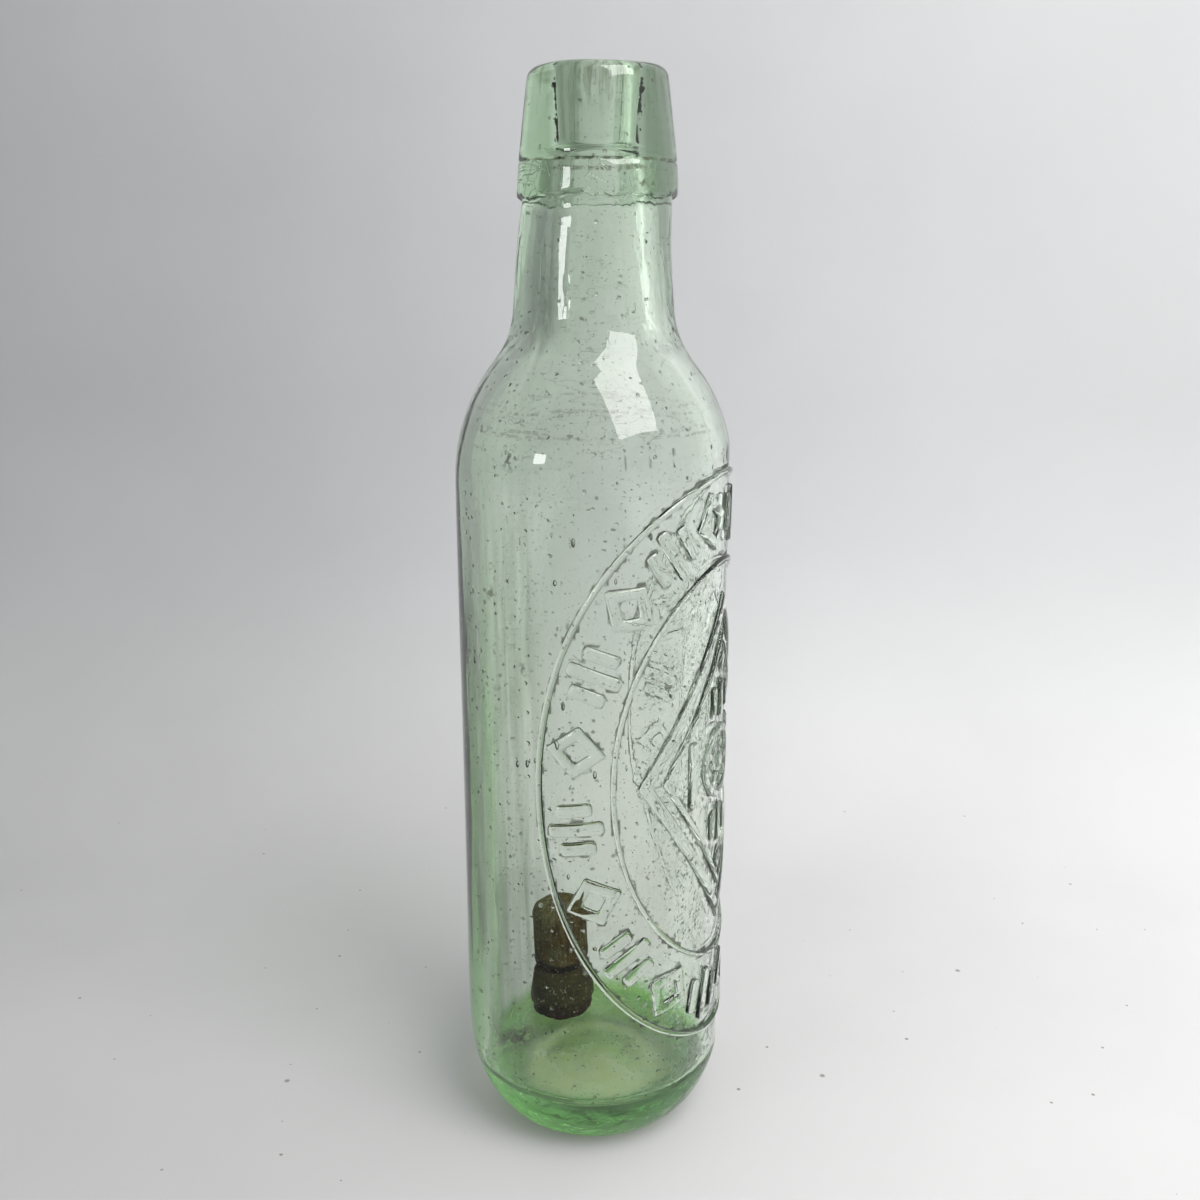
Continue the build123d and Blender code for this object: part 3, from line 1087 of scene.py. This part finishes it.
# The table under the paper: painted grey, and pale far out at both sides. From the photograph's place it
# shows only through the glass.
table_size = 5
table_drop = 0.003
bpy.ops.object.select_all(action="DESELECT")
bpy.ops.mesh.primitive_plane_add(size=table_size, location=(0, 0, -table_drop))
table = bpy.context.object
table.name = "table_top"
paint, tree, shader = plain_finish("grey_table")
vector, x, y, z = in_millimetres(tree)
brushed = cloud(tree, vector, 0.01, 3, (1, 0.2, 1))
painted = two_colours(tree, brushed, (0.10, 0.10, 0.10, 1), (0.16, 0.155, 0.15, 1))
# Painted light: far out at both sides the table is pale and glows, standing in for white cards that light
# the bottle.
sides = ramp(tree, result_of(tree, "ABSOLUTE", x), 300, 600)
colour = two_colours(tree, sides, painted, (0.6, 0.6, 0.6, 1))
side_glow = two_colours(tree, sides, (0, 0, 0, 1), (0.20, 0.21, 0.20, 1))
feed(tree, shader, {"Base Color": colour, "Emission Color": side_glow})
shader.inputs["Emission Strength"].default_value = 1.0
shader.inputs["Roughness"].default_value = 0.6
table.data.materials.append(paint)

# Light: a large window to the right in front, whose shape shows on the shoulder, a small one to the left,
# and an even room that is brighter to the right and above.
lamp_height = 0.12
room = bpy.data.worlds.new("room")
bpy.context.scene.world = room
room.use_nodes = True
tree = room.node_tree
direction = put(tree, "ShaderNodeTexCoord").outputs["Generated"]
parts = put(tree, "ShaderNodeSeparateXYZ", {0: direction}).outputs
to_right = ramp(tree, parts[0], -0.7, 0.9, 0.30, 0.74)
upwards = ramp(tree, parts[2], -0.25, 0.15, 0.35, 1.05)
glow = two_colours(tree, product(tree, to_right, upwards), (0, 0, 0, 1), (0.96, 0.98, 1.0, 1))
feed(tree, tree.nodes["Background"], {"Color": glow})


def window(name, azimuth, elevation, distance, width, height, power, colour):
    """A rectangular lamp that faces the bottle; azimuth 0 is the camera's side and grows to the right."""
    a, e = math.radians(azimuth), math.radians(elevation)
    back = Vector((math.sin(a) * math.cos(e), -math.cos(a) * math.cos(e), math.sin(e)))
    lamp = bpy.data.lights.new(name, "AREA")
    lamp.shape = "RECTANGLE"
    lamp.size = width
    lamp.size_y = height
    lamp.energy = power
    lamp.color = colour
    holder = bpy.data.objects.new(name, lamp)
    holder.visible_transmission = False
    bpy.context.scene.collection.objects.link(holder)
    holder.location = Vector((0, 0, lamp_height)) + back * distance
    holder.rotation_euler = back.to_track_quat("Z", "Y").to_euler()


window(
    "window_right",
    azimuth=41,
    elevation=50,
    distance=0.8,
    width=0.50,
    height=0.60,
    power=6.3,
    colour=(1, 0.99, 0.97),
)
window(
    "window_left",
    azimuth=-44,
    elevation=10,
    distance=1.3,
    width=0.20,
    height=0.25,
    power=1.8,
    colour=(1, 1, 1),
)

# The camera stands where the photograph was taken from: close to the bottle, a little below the height of
# its lip, and tilted down.
eye = bpy.data.cameras.new("eye")
eye.lens = 40.5
eye.sensor_width = 36
eye.clip_start = 0.01
camera = bpy.data.objects.new("eye", eye)
bpy.context.scene.collection.objects.link(camera)
camera.location = (0.00135, -0.2893, 0.2007)
camera.rotation_euler = (math.radians(75.1), 0, 0)
bpy.context.scene.camera = camera
bpy.context.scene.view_settings.view_transform = "Standard"
bpy.context.scene.cycles.max_bounces = 20
bpy.context.scene.cycles.transmission_bounces = 20
bpy.context.scene.cycles.transparent_max_bounces = 20
bpy.context.scene.cycles.caustics_refractive = False
